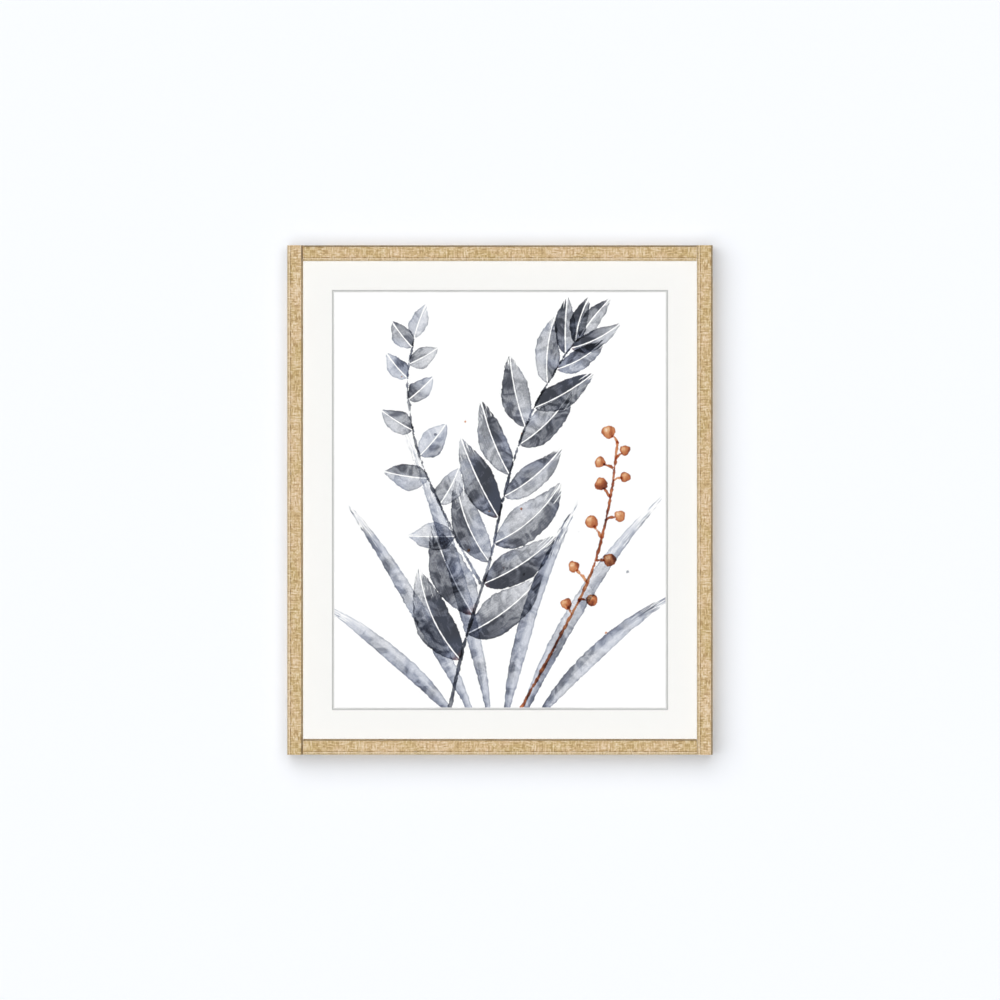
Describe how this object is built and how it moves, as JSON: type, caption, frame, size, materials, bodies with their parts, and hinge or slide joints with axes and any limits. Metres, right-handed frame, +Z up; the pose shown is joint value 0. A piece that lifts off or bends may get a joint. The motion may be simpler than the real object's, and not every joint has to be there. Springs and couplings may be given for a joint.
{
  "type": "framed art print",
  "caption": "Upright wall picture: linen-wrapped narrow wooden frame, white window mat, glazed print of painted leaves, hung on a toothed hanger.",
  "frame": {"origin": "on the wall plane, where the wall nail carries the middle notch of the toothed hanger", "axes": "+Z up along the stiles, the picture faces -Y, +X to the viewer's right, the wall is the plane y = 0"},
  "size_m": [0.5144, 0.0298, 0.6159],
  "materials": {
    "linen_wrap": "coarse tan linen weave glued over wood",
    "glass": "clear picture glass",
    "mat_board": "smooth warm white board with a cut bevel",
    "art_paper": "matte white art paper with a printed watercolour",
    "hardboard": "pressed brown fibreboard",
    "zinc_plate": "zinc-plated steel",
    "brass_plate": "brass-plated steel",
    "felt": "grey felt pad"
  },
  "bodies": {
    "root": {"backing_board": "hardboard", "bumper_left": "felt", "bumper_right": "felt", "corner_plate_bottom_left": "zinc_plate", "corner_plate_bottom_right": "zinc_plate", "corner_plate_top_left": "zinc_plate", "corner_plate_top_right": "zinc_plate", "glazing": "glass", "hanger_nail_left": "brass_plate", "hanger_nail_right": "brass_plate", "mat_board": "mat_board", "point_bottom_1": "zinc_plate", "point_bottom_2": "zinc_plate", "point_bottom_3": "zinc_plate", "point_left_1": "zinc_plate", "point_left_2": "zinc_plate", "point_left_3": "zinc_plate", "point_left_4": "zinc_plate", "point_right_1": "zinc_plate", "point_right_2": "zinc_plate", "point_right_3": "zinc_plate", "point_right_4": "zinc_plate", "point_top_1": "zinc_plate", "point_top_2": "zinc_plate", "point_top_3": "zinc_plate", "print_sheet": "art_paper", "rail_bottom": "linen_wrap", "rail_top": "linen_wrap", "sawtooth_hanger": "brass_plate", "screw_bottom_left_1": "zinc_plate", "screw_bottom_left_2": "zinc_plate", "screw_bottom_left_3": "zinc_plate", "screw_bottom_left_4": "zinc_plate", "screw_bottom_right_1": "zinc_plate", "screw_bottom_right_2": "zinc_plate", "screw_bottom_right_3": "zinc_plate", "screw_bottom_right_4": "zinc_plate", "screw_top_left_1": "zinc_plate", "screw_top_left_2": "zinc_plate", "screw_top_left_3": "zinc_plate", "screw_top_left_4": "zinc_plate", "screw_top_right_1": "zinc_plate", "screw_top_right_2": "zinc_plate", "screw_top_right_3": "zinc_plate", "screw_top_right_4": "zinc_plate", "stile_left": "linen_wrap", "stile_right": "linen_wrap"}
  },
  "joints": []
}
